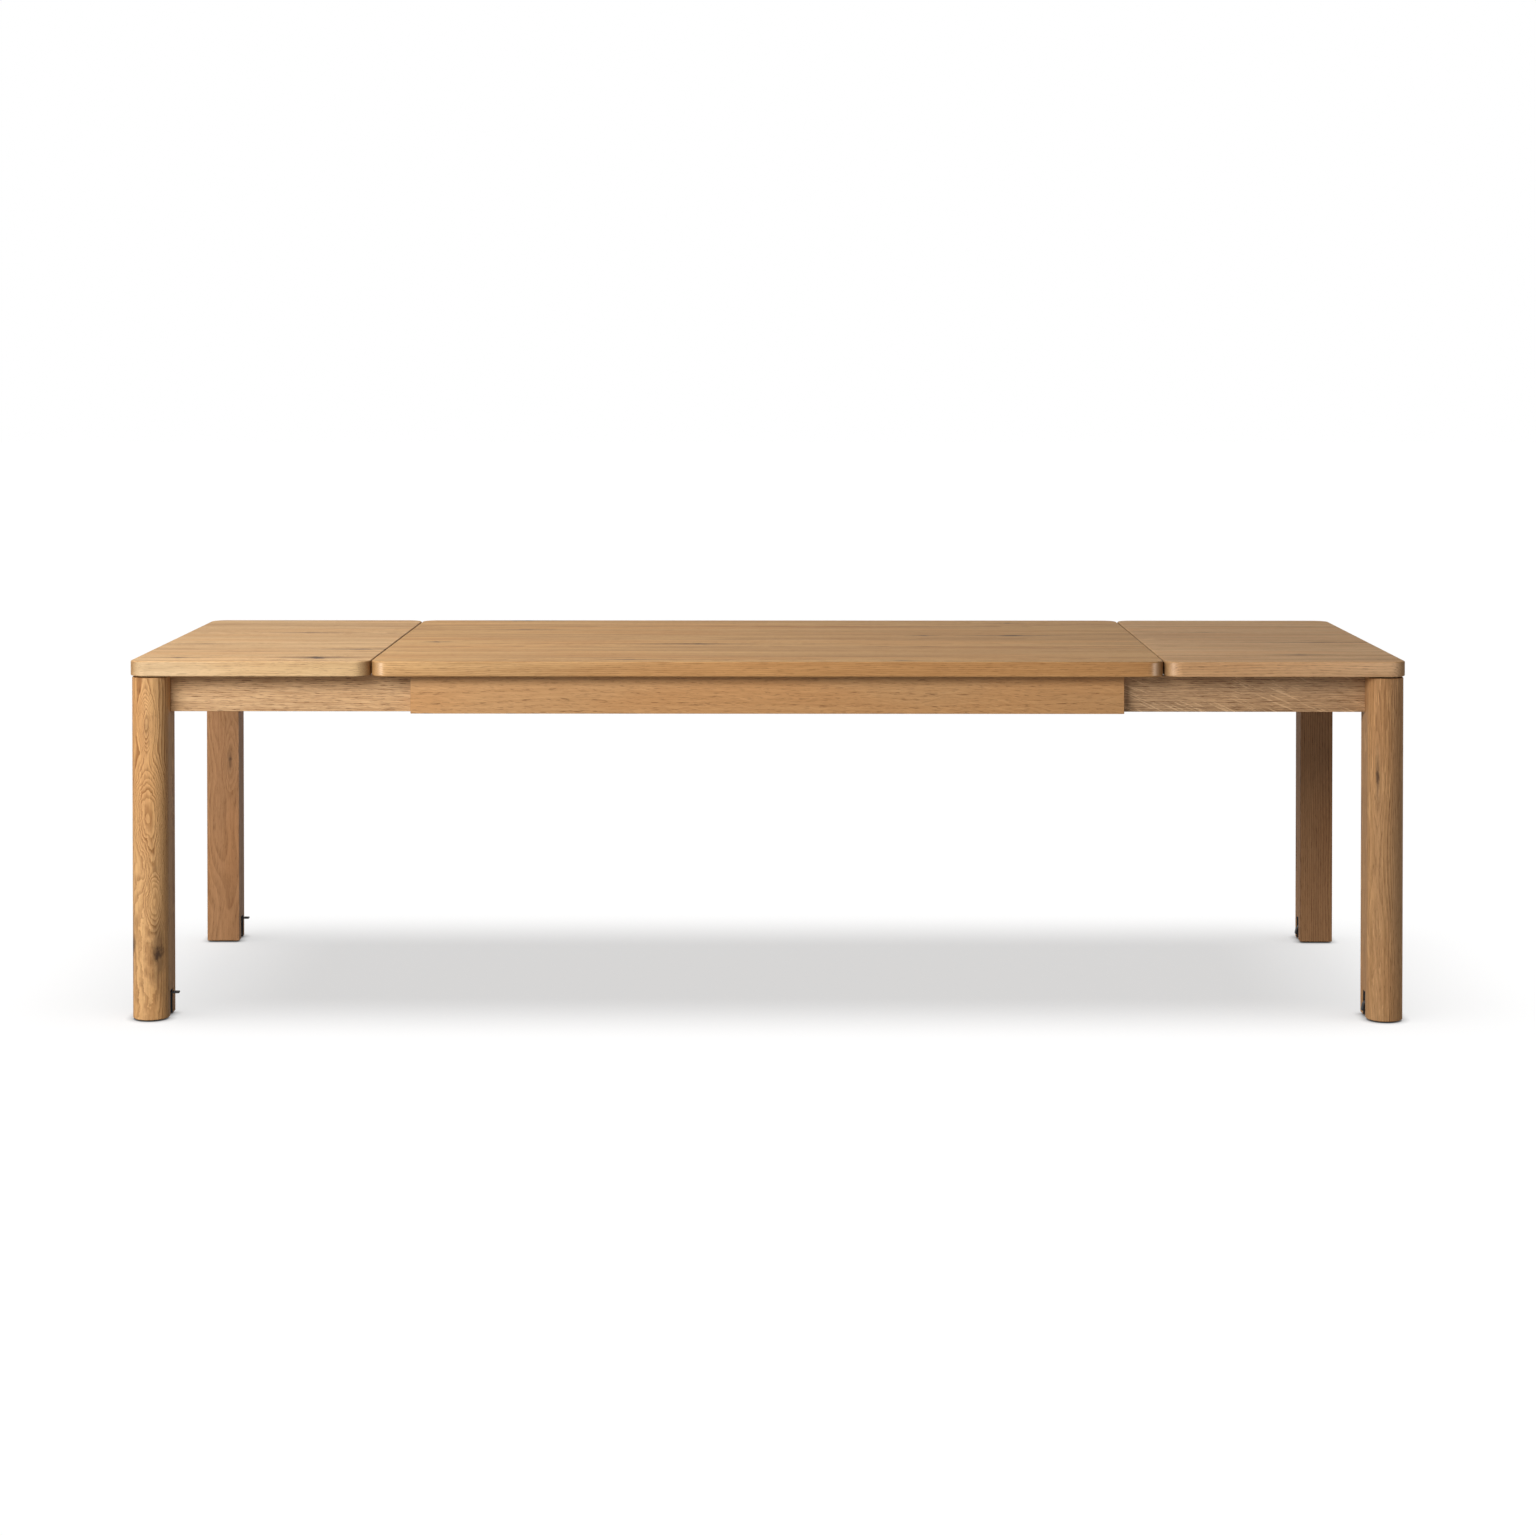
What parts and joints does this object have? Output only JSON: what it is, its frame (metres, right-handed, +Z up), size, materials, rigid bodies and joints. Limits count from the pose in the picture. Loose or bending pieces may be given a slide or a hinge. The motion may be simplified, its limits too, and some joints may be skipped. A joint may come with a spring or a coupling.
{
  "type": "extending dining table",
  "caption": "Oak dining table with rounded corners and half-round legs that pulls out at both ends to take a loose leaf, with braked castors hidden in the feet.",
  "frame": {"origin": "on the floor, under the middle of the table as it stands pulled out", "axes": "+X along the table to the right of the picture, front faces -Y, +Z up"},
  "size_m": [2.692, 1.016, 0.762],
  "materials": {
    "oak_top": "oiled, satin",
    "oak": "oiled, satin",
    "frame_beech": "plain planed",
    "dowel_beech": "plain",
    "aluminium": "mill",
    "zinc_steel": "zinc plated",
    "black_steel": "satin black",
    "nylon": "plain",
    "rubber": "matt",
    "wheel_plastic": "satin"
  },
  "bodies": {
    "centre": {"centre_top": "oak_top", "centre_apron_front": "oak", "centre_apron_back": "oak", "guide_rail_front": "frame_beech", "guide_rail_back": "frame_beech", "slide_channel_front": "aluminium", "slide_channel_back": "aluminium", "cross_bearer_left": "frame_beech", "cross_bearer_middle": "frame_beech", "cross_bearer_right": "frame_beech", "slide_stops": "nylon", "apron_spacers": "frame_beech", "apron_dowels": "dowel_beech", "top_screws": "zinc_steel", "channel_screws": "zinc_steel"},
    "left_end": {"left_end_apron": "oak", "left_corner_blocks": "frame_beech", "left_leg_bolts": "zinc_steel", "left_runner_screws": "zinc_steel", "left_shoes": "nylon", "left_castor_housings": "black_steel", "left_castor_pins": "zinc_steel", "left_castor_screws": "zinc_steel", "left_front_leg": "oak", "left_front_rail": "oak", "left_front_runner": "aluminium", "left_back_leg": "oak", "left_back_rail": "oak", "left_back_runner": "aluminium"},
    "left_leaf": {"left_leaf": "oak_top", "left_leaf_dowels": "dowel_beech", "left_leaf_pads": "rubber"},
    "left_front_wheel": {"left_front_wheel": "wheel_plastic"},
    "left_front_brake_lever": {"left_front_brake_lever": "black_steel"},
    "left_back_wheel": {"left_back_wheel": "wheel_plastic"},
    "left_back_brake_lever": {"left_back_brake_lever": "black_steel"},
    "right_end": {"right_end_apron": "oak", "right_corner_blocks": "frame_beech", "right_leg_bolts": "zinc_steel", "right_runner_screws": "zinc_steel", "right_shoes": "nylon", "right_castor_housings": "black_steel", "right_castor_pins": "zinc_steel", "right_castor_screws": "zinc_steel", "right_front_leg": "oak", "right_front_rail": "oak", "right_front_runner": "aluminium", "right_back_leg": "oak", "right_back_rail": "oak", "right_back_runner": "aluminium"},
    "right_leaf": {"right_leaf": "oak_top", "right_leaf_dowels": "dowel_beech", "right_leaf_pads": "rubber"},
    "right_front_wheel": {"right_front_wheel": "wheel_plastic"},
    "right_front_brake_lever": {"right_front_brake_lever": "black_steel"},
    "right_back_wheel": {"right_back_wheel": "wheel_plastic"},
    "right_back_brake_lever": {"right_back_brake_lever": "black_steel"}
  },
  "joints": [
    {"name": "left_end_slide", "type": "slide", "parent": "centre", "child": "left_end", "axis": [1, 0, 0], "range_m": [0, 0.51]},
    {"name": "left_leaf_draw", "type": "slide", "parent": "centre", "child": "left_leaf", "axis": [-1, 0, 0], "range_m": [0, 0.53]},
    {"name": "left_front_wheel_spin", "type": "hinge", "parent": "left_end", "child": "left_front_wheel", "pos_m": [-1.29, -0.442, 0.017], "axis": [0, 1, 0], "continuous": true},
    {"name": "left_front_brake_swing", "type": "hinge", "parent": "left_end", "child": "left_front_brake_lever", "pos_m": [-1.28, -0.442, 0.041], "axis": [0, 1, 0], "range_deg": [0, 77]},
    {"name": "left_back_wheel_spin", "type": "hinge", "parent": "left_end", "child": "left_back_wheel", "pos_m": [-1.29, 0.442, 0.017], "axis": [0, 1, 0], "continuous": true},
    {"name": "left_back_brake_swing", "type": "hinge", "parent": "left_end", "child": "left_back_brake_lever", "pos_m": [-1.28, 0.442, 0.041], "axis": [0, 1, 0], "range_deg": [0, 77]},
    {"name": "right_end_slide", "type": "slide", "parent": "centre", "child": "right_end", "axis": [-1, 0, 0], "range_m": [0, 0.51]},
    {"name": "right_leaf_draw", "type": "slide", "parent": "centre", "child": "right_leaf", "axis": [1, 0, 0], "range_m": [0, 0.53]},
    {"name": "right_front_wheel_spin", "type": "hinge", "parent": "right_end", "child": "right_front_wheel", "pos_m": [1.29, -0.442, 0.017], "axis": [0, 1, 0], "continuous": true},
    {"name": "right_front_brake_swing", "type": "hinge", "parent": "right_end", "child": "right_front_brake_lever", "pos_m": [1.28, -0.442, 0.041], "axis": [0, 1, 0], "range_deg": [0, 77]},
    {"name": "right_back_wheel_spin", "type": "hinge", "parent": "right_end", "child": "right_back_wheel", "pos_m": [1.29, 0.442, 0.017], "axis": [0, 1, 0], "continuous": true},
    {"name": "right_back_brake_swing", "type": "hinge", "parent": "right_end", "child": "right_back_brake_lever", "pos_m": [1.28, 0.442, 0.041], "axis": [0, 1, 0], "range_deg": [0, 77]}
  ]
}
